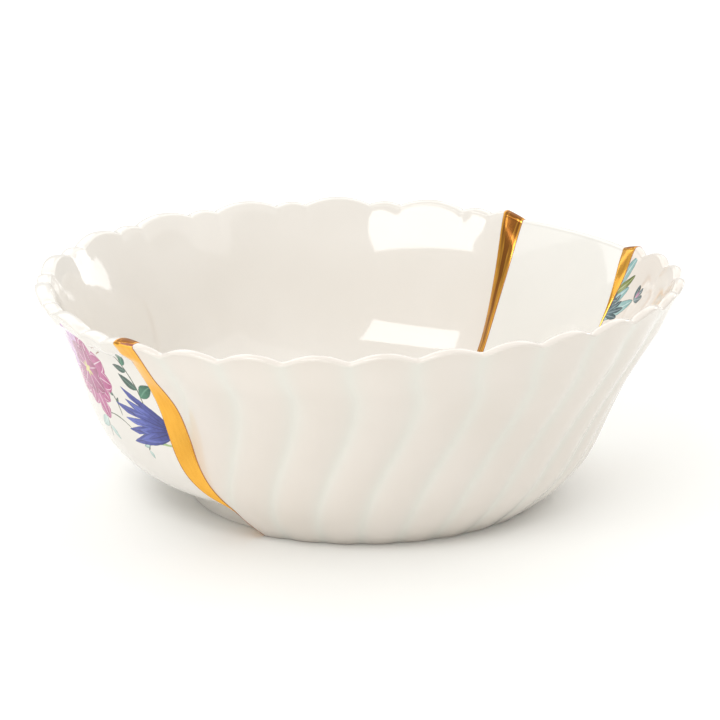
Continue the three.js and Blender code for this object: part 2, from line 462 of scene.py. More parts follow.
@dataclass(frozen=True)
class Section:
    """The cut through a ware's wall that its columns share, before the relief."""

    ware: Ware
    hub_radius: float = BASE.hub_radius
    crown_rows: int = 12
    crown_rise: float = 1.05
    crown_upright: float = 3.0  # how much more upright the rim's rounding starts than the wall
    glaze_line: float = 0.02  # the glaze stops at this height over the table

    def outside_base(self) -> Array:
        """The underside, the foot and the heel, from the hub to the wall's first row.

        Returns:
            Rows of radius and height.
        """
        ware = self.ware
        start = along_curve(ware.outside, np.array([ware.first_station]))[0]
        corners = [
            (self.hub_radius, BASE.recess),
            (BASE.underside_edge, BASE.recess),
            (BASE.foot_inner, 0),
            (ware.foot_radius, 0),
            ware.outside[0],
            tuple(start),
        ]
        line = rounded_line(corners, BASE.corner_radii, BASE.corner_steps)
        return line[:-1]

    def inside_base(self, rows: int) -> Array:
        """The well and its side, from the hub to where the inside faces the wall's first row.

        Args:
            rows: how many rows to make.

        Returns:
            Rows of radius and height.
        """
        flat = np.linspace(self.hub_radius, BASE.well_radius, BASE.well_rows + 1)[:-1]
        well = np.stack([flat, np.full(len(flat), BASE.floor)], axis=-1)
        start = self.facing_inside(self.ware.first_station)
        shares = np.linspace(0, start, rows - len(flat) + 1)[:-1]
        return np.concatenate([well, along_curve(self.ware.inside, shares)])

    def facing_inside(self, station: Array) -> Array:
        """The share of the inside curve that faces a place up the outside."""
        return BASE.inside_start + (1 - BASE.inside_start) * station

    def surface(self, columns: Columns, painting_angle: float) -> Surface:
        """The skin that the columns make of this section.

        Args:
            columns: the columns' angles.
            painting_angle: where round the bowl the wall's own coordinates start.

        Returns:
            The skin, with its wall coordinates.
        """
        ware = self.ware
        base, stations = self.outside_base(), ware.stations()
        wall = along_curve(ware.outside, stations)
        out = np.concatenate([base, wall])
        station = np.concatenate([np.zeros(len(base)), stations])
        from_ring = base[:, 0] - BASE.foot_inner - BASE.plain_ring
        room = ware.foot_radius - BASE.foot_inner - BASE.plain_ring
        share = np.concatenate([np.clip(from_ring / room, 0, 1), np.ones(len(wall))])
        angle = columns.angles(out[:, 0], out[:, 1])
        relief = ware.relief(station, angle, np.broadcast_to(out[:, 1], angle.shape))
        lean = ware.rise_of_lean(angle, out[:, 0], station)
        out_radius = out[:, 0] + relief.out * share
        out_height = out[:, 1] + relief.up * share + lean

        inner_base = self.inside_base(len(base))
        inner = np.concatenate([inner_base, along_curve(ware.inside, self.facing_inside(stations))])
        on_wall = np.concatenate([np.zeros(len(base)), np.ones(len(wall))])
        in_radius = inner[:, 0] + relief.inside * on_wall
        in_height = inner[:, 1] + (relief.up + lean) * on_wall

        crown_radius, crown_height = self.crown(out_radius, out_height, in_radius, in_height)
        radius = np.concatenate([out_radius, crown_radius, in_radius[:, ::-1]], axis=1)
        height = np.concatenate([out_height, crown_height, in_height[:, ::-1]], axis=1)
        turn = columns.angles(radius, height)
        east, north = radius * np.sin(np.radians(turn)), -radius * np.cos(np.radians(turn))
        places = self.wall_places(turn - painting_angle, radius, len(base))
        # How deep in a groove each point lies: the tint of run glaze and of a painted cool
        # reflection.
        pool = np.zeros(radius.shape)
        pool[:, :len(out)] = ware.pool_and_sheen_share(angle, out[:, 1]) * share
        points = np.stack([east, north, height], axis=-1)
        return Surface(points, places, height < self.glaze_line, pool)

    def crown(
        self, out_radius: Array, out_height: Array, in_radius: Array, in_height: Array
    ) -> tuple[Array, Array]:
        """The rim's rounded edge, between the last row of the outside and that of the inside.

        Args:
            out_radius: radii of the outside, columns by rows.
            out_height: its heights.
            in_radius: radii of the inside.
            in_height: its heights.

        Returns:
            Radii and heights of the edge's own rows.
        """
        pull = np.array(self.ware.outside[3], float) - np.array(self.ware.outside[2], float)
        direction = pull / np.hypot(*pull) + np.array([0, self.crown_upright])
        direction = direction / np.hypot(*direction)
        handle = direction * self.crown_rise / (HANDLE_SHARE * direction[1])
        t = np.linspace(0, 1, self.crown_rows + 2)[1:-1]
        from_start = (1 - t) ** 3 + 3 * (1 - t) ** 2 * t
        from_end = t ** 3 + 3 * (1 - t) * t ** 2
        found = []
        for start, end, lift in (
            (out_radius, in_radius, handle[0]),
            (out_height, in_height, handle[1]),
        ):
            sides = start[:, -1:] * from_start + end[:, -1:] * from_end
            found.append(sides + lift * 3 * t * (1 - t))
        return found[0], found[1]

    def wall_places(self, turn: Array, radius: Array, base_rows: int) -> Array:
        """The wall's own coordinates: round the bowl, up the wall, and which side.

        Args:
            turn: angles, columns by rows, from where the coordinates start.
            radius: radii of the same points.
            base_rows: rows under the wall.

        Returns:
            Columns by rows by 3.
        """
        ware = self.ware
        stations = ware.stations()
        out_length, in_length = length_of(ware.outside), length_of(ware.inside)
        under = np.full(base_rows, UNDER_WALL)
        up_out = np.concatenate([under, stations * out_length])
        up_in = np.concatenate([under, self.facing_inside(stations) * in_length])
        over = np.full(self.crown_rows, out_length)
        half = np.ones(len(up_out))
        place = np.empty(turn.shape + (3,))
        place[..., 0] = np.radians(turn) * radius
        place[..., 1] = np.concatenate([up_out, over, up_in[::-1]])
        place[..., 2] = np.concatenate([half, np.linspace(1, -1, self.crown_rows), -half])
        return place


def mesh_from_columns(
    name: str, surfaces: Sequence[Array], extras: dict[str, Sequence[Array]]
) -> bpy.types.Object:
    """One object from closed skins of columns and rows, each capped on its first and last column.

    Args:
        name: the object's name.
        surfaces: points of each skin, columns by rows by 3, in millimetres.
        extras: vectors or numbers kept at each point, by attribute name, for each skin.

    Returns:
        The object, smooth shaded, with its sharp edges marked.
    """
    corners, faces, kept, start = [], [], {key: [] for key in extras}, 0
    for number, points in enumerate(surfaces):
        count, ring = points.shape[:2]
        grid = np.arange(count * ring).reshape(count, ring) + start
        here, there = grid[:-1], grid[1:]
        quads = [here, there, np.roll(there, -1, axis=1), np.roll(here, -1, axis=1)]
        faces.append(np.stack(quads, axis=-1).reshape(-1, 4))
        half = ring // 2
        for column, flipped in ((grid[0], False), (grid[-1], True)):
            out, facing = column[:half], column[::-1][:half]
            cap = np.stack([out[:-1], out[1:], facing[1:], facing[:-1]], axis=-1)
            faces.append(cap[:, ::-1] if flipped else cap)
        corners.append(points.reshape(-1, 3) * FIT * MM)
        for key in extras:
            kept[key].append(extras[key][number].reshape(count * ring, -1))
        start += count * ring
    mesh = bpy.data.meshes.new(name)
    mesh.from_pydata(np.concatenate(corners).tolist(), [], np.concatenate(faces).tolist())
    for key, arrays in kept.items():
        values = np.concatenate(arrays).astype(np.float32)
        kind, field = ("FLOAT", "value") if values.shape[1] == 1 else ("FLOAT_VECTOR", "vector")
        layer = mesh.attributes.new(key, kind, "POINT")
        layer.data.foreach_set(field, values.ravel())
    mesh.polygons.foreach_set("use_smooth", [True] * len(mesh.polygons))
    mesh.set_sharp_from_angle(angle=math.radians(CREASE))
    mesh.validate()
    piece = bpy.data.objects.new(name, mesh)
    bpy.context.scene.collection.objects.link(piece)
    return piece


def zone_faces(mesh: bpy.types.Mesh, corners: Array, slot: int) -> None:
    """Gives a material slot to the faces whose corners all lie in a zone.

    Args:
        mesh: the mesh.
        corners: for each vertex, whether it lies in the zone.
        slot: the material slot's number.
    """
    count = len(mesh.polygons)
    starts, totals, index = (np.empty(count, np.int32) for _ in range(3))
    mesh.polygons.foreach_get("loop_start", starts)
    mesh.polygons.foreach_get("loop_total", totals)
    mesh.polygons.foreach_get("material_index", index)
    loops = np.empty(len(mesh.loops), np.int32)
    mesh.loops.foreach_get("vertex_index", loops)
    inside = np.add.reduceat(corners[loops].astype(int), starts) == totals
    mesh.polygons.foreach_set("material_index", np.where(inside, slot, index).astype(np.int32))


def add_node(
    tree: bpy.types.NodeTree, kind: str, inputs: Optional[dict] = None, **settings: Any
) -> bpy.types.Node:
    """Adds a node with its settings and links.

    Args:
        tree: the node tree.
        kind: the node's type name.
        inputs: what goes in, by the input's name or number: a plain value, a socket, or a node,
            which stands for its first output in use.
        settings: the node's own properties.

    Returns:
        The new node.
    """
    node = tree.nodes.new(kind)
    for key, value in settings.items():
        setattr(node, key, value)
    for key, value in (inputs or {}).items():
        if isinstance(value, bpy.types.Node):
            value = next(output for output in value.outputs if output.enabled)
        if isinstance(value, bpy.types.NodeSocket):
            tree.links.new(value, node.inputs[key])
        else:
            node.inputs[key].default_value = value
    return node


def new_group(name: str, taken: dict[str, str], given: dict[str, str]) -> bpy.types.NodeTree:
    """A node group with its sockets and no nodes.

    Args:
        name: the group's name.
        taken: the type of each input, by its name.
        given: the type of each output, by its name.

    Returns:
        The group.
    """
    group = bpy.data.node_groups.new(name, "ShaderNodeTree")
    for way, sockets in (("INPUT", taken), ("OUTPUT", given)):
        for label, kind in sockets.items():
            group.interface.new_socket(name=label, in_out=way, socket_type=kind)
    return group


def new_material(name: str) -> tuple[bpy.types.Material, bpy.types.NodeTree]:
    """A material with nodes, and none in it yet.

    Args:
        name: its name.

    Returns:
        The material and its tree.
    """
    material = bpy.data.materials.new(name)
    material.use_nodes = True
    material.node_tree.nodes.clear()
    return material, material.node_tree


class Kind(Enum):
    """How the brush was used for a painted mark: its belly, fullness and edge darkening."""

    PETAL = (1.45, 0.7, 0.35)
    LEAF = (0.85, 0.9, 0.55)
    PLUME = (0.75, 0.8, 0.45)
    LINE = (1.0, 0.3, 0.0)
    DOT = (1.0, 0.5, 0.2)
    OUTLINED = (1.3, 0.6, 1.0)


@dataclass(frozen=True)
class Ink:
    """An enamel colour: at a mark's root and tip, and in its veins."""

    root: str
    tip: str
    vein: str
    veins: float = 0.0
    strength: float = 0.0


ROSE = Ink("CC72A6", "A83274", "F7E3EE", 3.0, 0.85)
LILAC = Ink("D9B0D9", "B87AB8", "FBF1F8", 3.0, 0.7)
MAGENTA = Ink("B95490", "8F205C", "F3CBE0", 3.0, 0.8)
POLLEN = Ink("E7D98A", "C9C26A", "E7D98A")
PINE = Ink("456657", "1F3B34", "6F9384", 1.0, 0.7)
SEA_GREEN = Ink("4A8468", "1F5340", "79AC92", 1.0, 0.6)
PALE_TEAL = Ink("C7DCD6", "93B3AB", "DDEBE7", 1.0, 0.5)
LIME = Ink("A9C089", "8CAA68", "A9C089")
TWIG = Ink("59684F", "414D3C", "59684F")
BROWN = Ink("A9836C", "8C6A58", "A9836C")
BLUE = Ink("3D428F", "6470C2", "23275F", 2.0, 0.85)
DEEP_BLUE = Ink("272B68", "4A53A8", "191C4A", 1.0, 0.75)
SMOKE = Ink("6B8489", "35474B", "B6C7CC", 1.0, 0.6)
ICE = Ink("BFD6D3", "7FA9A8", "EEF7F6", 1.0, 0.5)
MOSS = Ink("A3AD66", "5F6B2C", "D5DAA8", 1.0, 0.6)
PLUM = Ink("C58AA8", "8A4D77", "E2BFD2", 1.0, 0.5)
INK_LINE = Ink("2D3A3A", "2D3A3A", "2D3A3A")


@dataclass(frozen=True)
class Mark:
    """One touch of the brush, in millimetres on the wall, or a fan of like ones round its start."""

    start: Point
    heading: float
    length: float
    width: float
    kind: Kind
    ink: Ink
    bend: float = 0.0
    count: int = 1  # more than one makes a fan of like marks round the start
    step: float = 0.0  # between their headings
    uneven: float = 0.1  # how much their lengths differ


@dataclass(frozen=True)
class Blossom:
    """A round flower of two rings of petals, paler on one side, with a heart."""

    centre: Point
    radius: float
    petals: int = 11
    pale_petals: int = 4
    pale_heading: float = 140.0
    inner_petals: int = 7
    inner_heading: float = 17.0
    inner_share: float = 0.62  # of the radius
    overlap: float = 1.15  # a petal's width against the room that it has
    uneven: float = 0.13  # how much the outer petals' lengths differ
    inner_uneven: float = 0.1
    heart_share: float = 0.2
    heart_dots: int = 6
    dot_width: float = 1.2

    def ring(
        self, heading: float, reach: float, count: int, step: float, ink: Ink, uneven: float
    ) -> Mark:
        """Like petals, side by side as a fan round the centre.

        Args:
            heading: the middle of the fan.
            reach: the petals' length.
            count: how many they are.
            step: degrees between them.
            ink: their enamel.
            uneven: how much their lengths differ.

        Returns:
            The fan.
        """
        width = 2 * self.overlap * reach * math.tan(math.radians(step / 2))
        return Mark(self.centre, heading, reach, width, Kind.PETAL, ink, 0.0, count, step, uneven)

    def marks(self) -> list[Mark]:
        """The flower's rings, from the outer one inwards.

        Returns:
            The marks, from the bottom one up.
        """
        step, inner_step, dot_step = (
            360 / count for count in (self.petals, self.inner_petals, self.heart_dots)
        )
        rose, far = self.petals - self.pale_petals, self.pale_heading + 180
        inner, heart = self.radius * self.inner_share, self.radius * self.heart_share
        middle = (self.inner_heading, inner, self.inner_petals, inner_step, MAGENTA)
        return [
            self.ring(self.pale_heading, self.radius, self.pale_petals, step, LILAC, self.uneven),
            self.ring(far, self.radius, rose, step, ROSE, self.uneven),
            self.ring(*middle, self.inner_uneven),
            Mark(
                self.centre, 0.0, heart, self.dot_width, Kind.DOT, POLLEN, 0.0,
                self.heart_dots, dot_step,
            ),
        ]


@dataclass(frozen=True)
class Sprig:
    """A bent stem with leaves on both sides by turns."""

    start: Point
    heading: float
    length: float
    bend: float
    leaves: tuple[tuple[float, float, float, Ink], ...]  # share of the stem, heading, length, ink
    stem: Ink = TWIG
    stem_width: float = 0.55
    leaf_width: float = 0.46  # of a leaf's length
    leaf_bend: float = 0.05  # of a leaf's length

    def point(self, share: float) -> Point:
        """A point on the stem.

        Args:
            share: how far along the stem, 0 to 1.

        Returns:
            Its place on the wall.
        """
        turn = math.radians(self.heading)
        along, aside = self.length * share, 4 * self.bend * share * (1 - share)
        x = self.start[0] + along * math.cos(turn) - aside * math.sin(turn)
        y = self.start[1] + along * math.sin(turn) + aside * math.cos(turn)
        return x, y

    def marks(self) -> list[Mark]:
        """The stem, then its leaves.

        Returns:
            The marks, from the bottom one up.
        """
        stem = Mark(
            self.start, self.heading, self.length, self.stem_width, Kind.LINE, self.stem, self.bend
        )
        leaves = [
            Mark(
                self.point(share), heading, length, length * self.leaf_width, Kind.LEAF, ink,
                length * self.leaf_bend,
            )
            for share, heading, length, ink in self.leaves
        ]
        return [stem, *leaves]


@dataclass(frozen=True)
class FanFlower:
    """A blue flower from the side: narrow petals that fan out from where its stem meets it."""

    start: Point
    heading: float
    spread: float
    length: float
    petals: int = 6
    overlap: float = 1.2  # a petal's width against the room that it has
    bend: float = 0.03  # of a petal's length
    uneven: float = 0.14
    rows: tuple[tuple[float, float, Ink, int], ...] = (  # turn in steps, reach, ink, petals fewer
        (0.0, 1.0, DEEP_BLUE, 0),
        (0.5, 0.86, BLUE, 1),
        (0.15, 0.62, DEEP_BLUE, 0),
    )

    def marks(self) -> list[Mark]:
        """Rows of petals, the shorter ones over the longer.

        Returns:
            The marks, from the bottom one up.
        """
        step = self.spread / self.petals
        marks = []
        for turn, reach, ink, fewer in self.rows:
            length = self.length * reach
            width = 2 * self.overlap * length * math.tan(math.radians(step / 2))
            marks.append(Mark(
                self.start, self.heading + turn * step, length, width, Kind.PLUME, ink,
                self.bend * length, self.petals - fewer, step, self.uneven,
            ))
        return marks


def outside_painting() -> tuple[Mark, ...]:
    """Flowers and leaves on the scalloped shard, beside the left seam.

    Returns:
        The marks, from the bottom one up.
    """
    return (
        *Sprig((31.0, 52.0), 101.0, 22.0, -1.6, (
            (0.30, 38.0, 9.0, SEA_GREEN),
            (0.42, 148.0, 8.0, PINE),
            (0.72, 172.0, 6.0, PINE),
            (0.80, 52.0, 5.5, SEA_GREEN),
        )).marks(),
        *Sprig((-12.0, 60.0), 190.0, 24.0, 2.5, (
            (0.25, 235.0, 8.0, PALE_TEAL),
            (0.48, 150.0, 7.5, SEA_GREEN),
            (0.72, 225.0, 6.5, PINE),
            (0.99, 182.0, 5.0, LILAC),
        )).marks(),
        *Sprig((4.0, 50.0), 262.0, 13.0, 1.5, (
            (0.35, 215.0, 8.0, PALE_TEAL),
            (0.60, 318.0, 6.0, PALE_TEAL),
        )).marks(),
        Mark((20.0, 45.5), 172.0, 13.0, 0.5, Kind.LINE, TWIG, -1.5),
        Mark((8.0, 47.5), 112.0, 5.5, 2.6, Kind.LEAF, BLUE),
        Mark((40.0, 44.0), 176.0, 15.0, 0.9, Kind.LINE, LIME, 1.0),
        *Sprig((27.0, 44.5), 250.0, 6.0, 0.6, (
            (0.5, 205.0, 3.4, PALE_TEAL),
            (0.95, 285.0, 3.2, PALE_TEAL),
        )).marks(),
        *Sprig((17.0, 49.0), 108.0, 9.0, -0.8, (
            (0.45, 60.0, 2.6, PINE),
            (0.75, 165.0, 2.6, PINE),
        )).marks(),
        *FanFlower((41.0, 49.5), 176.0, 62.0, 22.0).marks(),
        *Blossom((2.0, 61.0), 14.5).marks(),
        Mark((14.0, 71.5), 20.0, 4.2, 0.5, Kind.LINE, BROWN, 0.3),
        Mark((15.5, 70.0), 24.0, 3.4, 0.45, Kind.LINE, BROWN, 0.2),
    )


def inside_painting() -> tuple[Mark, ...]:
    """A dark-lined spray on the inside of the fluted shard, beside the right seam.

    Returns:
        The marks, from the bottom one up.
    """
    root, bloom = (24.5, 72.0), (19.5, 81.5)
    return (
        Mark(root, 90.0, 20.0, 0.7, Kind.LINE, INK_LINE, -1.0),
        Mark(root, 100.0, 21.0, 5.2, Kind.OUTLINED, ICE, 0.4, 5, 22.0, 0.16),
        Mark(root, 88.0, 15.0, 4.6, Kind.OUTLINED, MOSS, 0.4, 4, 27.0, 0.16),
        Mark((23.5, 80.0), 96.0, 12.0, 3.6, Kind.OUTLINED, MOSS, 0.3, 3, 30.0, 0.16),
        Mark((18.0, 77.0), 140.0, 8.0, 2.2, Kind.OUTLINED, SMOKE, 0.2, 4, 24.0, 0.1),
        Mark(bloom, 15.0, 3.4, 2.4, Kind.OUTLINED, SMOKE, 0.0, 6, 60.0, 0.1),
        Mark(bloom, 15.0, 1.6, 1.0, Kind.DOT, PLUM, 0.0, 5, 72.0, 0.1),
        Mark((6.5, 85.0), 110.0, 5.2, 2.8, Kind.OUTLINED, SMOKE, 0.2, 3, 46.0, 0.1),
        Mark((6.5, 86.0), 110.0, 2.4, 1.2, Kind.DOT, PLUM, 0.0, 2, 40.0, 0.1),
    )


class MarkBrush:
    """The node groups that paint a mark over what is under it, and spread it as a fan.

    They work on single numbers, step after step, so that a long row of marks stays within what
    the renderer can hold.
    """

    COLOURS = ("Under", "Root", "Tip", "Vein")
    NUMBERS = (
        "X", "Y", "Wander", "Cosine", "Sine", "Length", "Width", "Bend", "Belly", "Fullness",
        "Darkening", "Veins", "Vein strength",
    )
    FAN_NUMBERS = ("X", "Y", "Heading", "Step", "Count", "Uneven")
    FEATHER = 0.16  # width over which a mark's edge fades, in millimetres
    WOBBLE = 0.16  # how far a mark's edge wanders
    EDGE_WASH = 0.45  # width of the darker edge
    EDGE_INK = "2D3A3A"
    WASH_WANDER = 0.9  # how unevenly the wash turns from the root's colour to the tip's
    THINNEST = 0.05  # the veins draw together no further than at this half width
    VEIN_FINENESS = 14.0
    LENGTH_TURN = 2.4  # radians from one mark to the next in the wave that their lengths follow

    def __init__(self) -> None:
        """Makes both groups."""
        taken = {name: COLOUR for name in self.COLOURS} | {name: NUMBER for name in self.NUMBERS}
        self.mark = new_group("painted_mark", taken, {"Colour": COLOUR})
        self.draw_mark()
        taken = {name: NUMBER for name in self.FAN_NUMBERS}
        self.fan = new_group("petal_fan", taken, {"Ahead": NUMBER, "Left": NUMBER})
        self.draw_fan()

    @staticmethod
    def turned(
        tree: bpy.types.NodeTree, place: Sequence[Any], heading: Sequence[Any]
    ) -> list[bpy.types.Node]:
        """How far ahead and how far to the left a place lies, for one who looks along a heading.

        Args:
            tree: the node tree.
            place: the place's two coordinates.
            heading: the heading's cosine and sine.

        Returns:
            The two nodes that give it.
        """
        (x, y), (cosine, sine) = place, heading
        found = []
        for first, second, operation in ((x, y, "ADD"), (y, x, "SUBTRACT")):
            by_cosine = add_node(tree, MATH, {0: first, 1: cosine}, operation="MULTIPLY")
            by_sine = add_node(tree, MATH, {0: second, 1: sine}, operation="MULTIPLY")
            found.append(add_node(tree, MATH, {0: by_cosine, 1: by_sine}, operation=operation))
        return found

    def draw_mark(self) -> None:
        """Places the mark's own coordinates, its outline, its wash of colour and its veins."""
        new = functools.partial(add_node, self.mark)
        given = new("NodeGroupInput").outputs
        place, heading = (given["X"], given["Y"]), (given["Cosine"], given["Sine"])
        ahead, left = self.turned(self.mark, place, heading)
        raw = new(MATH, {0: ahead, 1: given["Length"]}, operation="DIVIDE")
        along = new(MATH, {0: raw, 1: 0.0}, operation="ADD", use_clamp=True)
        arch = new(MATH, {0: 1.0, 1: along}, operation="SUBTRACT")
        arch = new(MATH, {0: along, 1: arch}, operation="MULTIPLY")
        arch = new(MATH, {0: arch, 1: 4.0}, operation="MULTIPLY")
        bow = new(MATH, {0: arch, 1: given["Bend"]}, operation="MULTIPLY")
        aside = new(MATH, {0: left, 1: bow}, operation="SUBTRACT")

        swell = new(MATH, {0: along, 1: given["Belly"]}, operation="POWER")
        swell = new(MATH, {0: swell, 1: math.pi}, operation="MULTIPLY")
        swell = new(MATH, {0: swell}, operation="SINE")
        swell = new(MATH, {0: swell, 1: 0.0}, operation="MAXIMUM")
        swell = new(MATH, {0: swell, 1: given["Fullness"]}, operation="POWER")
        half = new(MATH, {0: swell, 1: given["Width"]}, operation="MULTIPLY")
        half = new(MATH, {0: half, 1: 0.5}, operation="MULTIPLY")

        wander = new(MATH, {0: given["Wander"], 1: 0.5}, operation="SUBTRACT")
        off = new(MATH, {0: aside}, operation="ABSOLUTE")
        room = new(MATH, {0: half, 1: off}, operation="SUBTRACT")
        wobble = new(MATH, {0: wander, 1: 2 * self.WOBBLE}, operation="MULTIPLY")
        room = new(MATH, {0: room, 1: wobble}, operation="ADD")
        cover = new(MATH, {0: room, 1: self.FEATHER}, operation="DIVIDE")
        cover = new(MATH, {0: cover, 1: 0.5}, operation="ADD", use_clamp=True)
        within = new(MATH, {0: raw, 1: 0.5, 2: 0.5}, operation="COMPARE")
        cover = new(MATH, {0: cover, 1: within}, operation="MULTIPLY")

        wash = new(MATH, {0: wander, 1: self.WASH_WANDER}, operation="MULTIPLY")
        wash = new(MATH, {0: along, 1: wash}, operation="ADD", use_clamp=True)
        shades = {"Factor": wash, MIX_FROM: given["Root"], MIX_TO: given["Tip"]}
        colour = new(MIX, shades, data_type="RGBA")

        across = new(MATH, {0: half, 1: self.THINNEST}, operation="MAXIMUM")
        across = new(MATH, {0: aside, 1: across}, operation="DIVIDE")
        lines = new(MATH, {0: across, 1: given["Veins"]}, operation="MULTIPLY")
        lines = new(MATH, {0: lines, 1: math.pi}, operation="MULTIPLY")
        lines = new(MATH, {0: lines}, operation="COSINE")
        ridge = new(MATH, {0: lines, 1: 0.0}, operation="MAXIMUM")
        ridge = new(MATH, {0: ridge, 1: self.VEIN_FINENESS}, operation="POWER")
        ridge = new(MATH, {0: ridge, 1: given["Vein strength"]}, operation="MULTIPLY")
        veined = {"Factor": ridge, MIX_FROM: colour, MIX_TO: given["Vein"]}
        colour = new(MIX, veined, data_type="RGBA")

        dark = new(MATH, {0: room, 1: self.EDGE_WASH}, operation="DIVIDE")
        dark = new(MATH, {0: 1.0, 1: dark}, operation="SUBTRACT", use_clamp=True)
        dark = new(MATH, {0: dark, 1: dark}, operation="MULTIPLY")
        dark = new(MATH, {0: dark, 1: given["Darkening"]}, operation="MULTIPLY")
        edged = {"Factor": dark, MIX_FROM: colour, MIX_TO: linear_colour(self.EDGE_INK)}
        colour = new(MIX, edged, data_type="RGBA")
        laid = {"Factor": cover, MIX_FROM: given["Under"], MIX_TO: colour}
        new("NodeGroupOutput", {"Colour": new(MIX, laid, data_type="RGBA")})

    def draw_fan(self) -> None:
        """Turns a place round a fan's start into one along the nearest mark of the fan."""
        new = functools.partial(add_node, self.fan)
        given = new("NodeGroupInput").outputs
        away = new(MATH, {0: given["Y"], 1: given["X"]}, operation="ARCTAN2")
        away = new(MATH, {0: away, 1: given["Heading"]}, operation="SUBTRACT")
        away = new(MATH, {0: away, 1: math.pi, 2: -math.pi}, operation="WRAP")
        half = new(MATH, {0: given["Count"], 1: 0.5}, operation="MULTIPLY")
        number = new(MATH, {0: away, 1: given["Step"]}, operation="DIVIDE")
        number = new(MATH, {0: number, 1: half}, operation="ADD")
        number = new(MATH, {0: number}, operation="FLOOR")
        number = new(MATH, {0: number, 1: 0.0}, operation="MAXIMUM")
        last = new(MATH, {0: given["Count"], 1: 1.0}, operation="SUBTRACT")
        number = new(MATH, {0: number, 1: last}, operation="MINIMUM")
        turn = new(MATH, {0: number, 1: 0.5}, operation="ADD")
        turn = new(MATH, {0: turn, 1: half}, operation="SUBTRACT")
        turn = new(MATH, {0: turn, 1: given["Step"]}, operation="MULTIPLY")
        turn = new(MATH, {0: given["Heading"], 1: turn}, operation="ADD")
        heading = [new(MATH, {0: turn}, operation=name) for name in ("COSINE", "SINE")]
        ahead, left = self.turned(self.fan, (given["X"], given["Y"]), heading)
        stretch = new(MATH, {0: number, 1: self.LENGTH_TURN}, operation="MULTIPLY")
        stretch = new(MATH, {0: stretch}, operation="SINE")
        stretch = new(MATH, {0: stretch, 1: given["Uneven"]}, operation="MULTIPLY")
        stretch = new(MATH, {0: stretch, 1: 1.0}, operation="ADD")
        ahead = new(MATH, {0: ahead, 1: stretch}, operation="MULTIPLY")
        new("NodeGroupOutput", {"Ahead": ahead, "Left": left})

    def paint(
        self, tree: bpy.types.NodeTree, under: bpy.types.Node, place: Sequence[Any],
        wander: bpy.types.Node, marks: Sequence[Mark],
    ) -> bpy.types.Node:
        """Paints marks one over another.

        Args:
            tree: the material's tree.
            under: gives the colour under them.
            place: the wall's coordinates, round the bowl and upwards.
            wander: a noise that makes the edges and washes uneven.
            marks: the marks, from the bottom one up.

        Returns:
            The node that gives the colour with all the marks.
        """
        for mark in marks:
            belly, fullness, darkening = mark.kind.value
            turn = math.radians(mark.heading)
            right, above = (
                add_node(tree, MATH, {0: along, 1: start}, operation="SUBTRACT")
                for along, start in zip(place, mark.start)
            )
            if mark.count > 1:
                spread = {
                    "X": right,
                    "Y": above,
                    "Heading": turn,
                    "Step": math.radians(mark.step),
                    "Count": mark.count,
                    "Uneven": mark.uneven,
                }
                right, above = add_node(tree, "ShaderNodeGroup", spread, node_tree=self.fan).outputs
                turn = 0.0
            values = {
                "Under": under,
                "Root": linear_colour(mark.ink.root),
                "Tip": linear_colour(mark.ink.tip),
                "Vein": linear_colour(mark.ink.vein),
                "X": right,
                "Y": above,
                "Wander": wander,
                "Cosine": math.cos(turn),
                "Sine": math.sin(turn),
                "Length": mark.length,
                "Width": mark.width,
                "Bend": mark.bend,
                "Belly": belly,
                "Fullness": fullness,
                "Darkening": darkening,
                "Veins": mark.ink.veins,
                "Vein strength": mark.ink.strength,
            }
            under = add_node(tree, "ShaderNodeGroup", values, node_tree=self.mark)
        return under


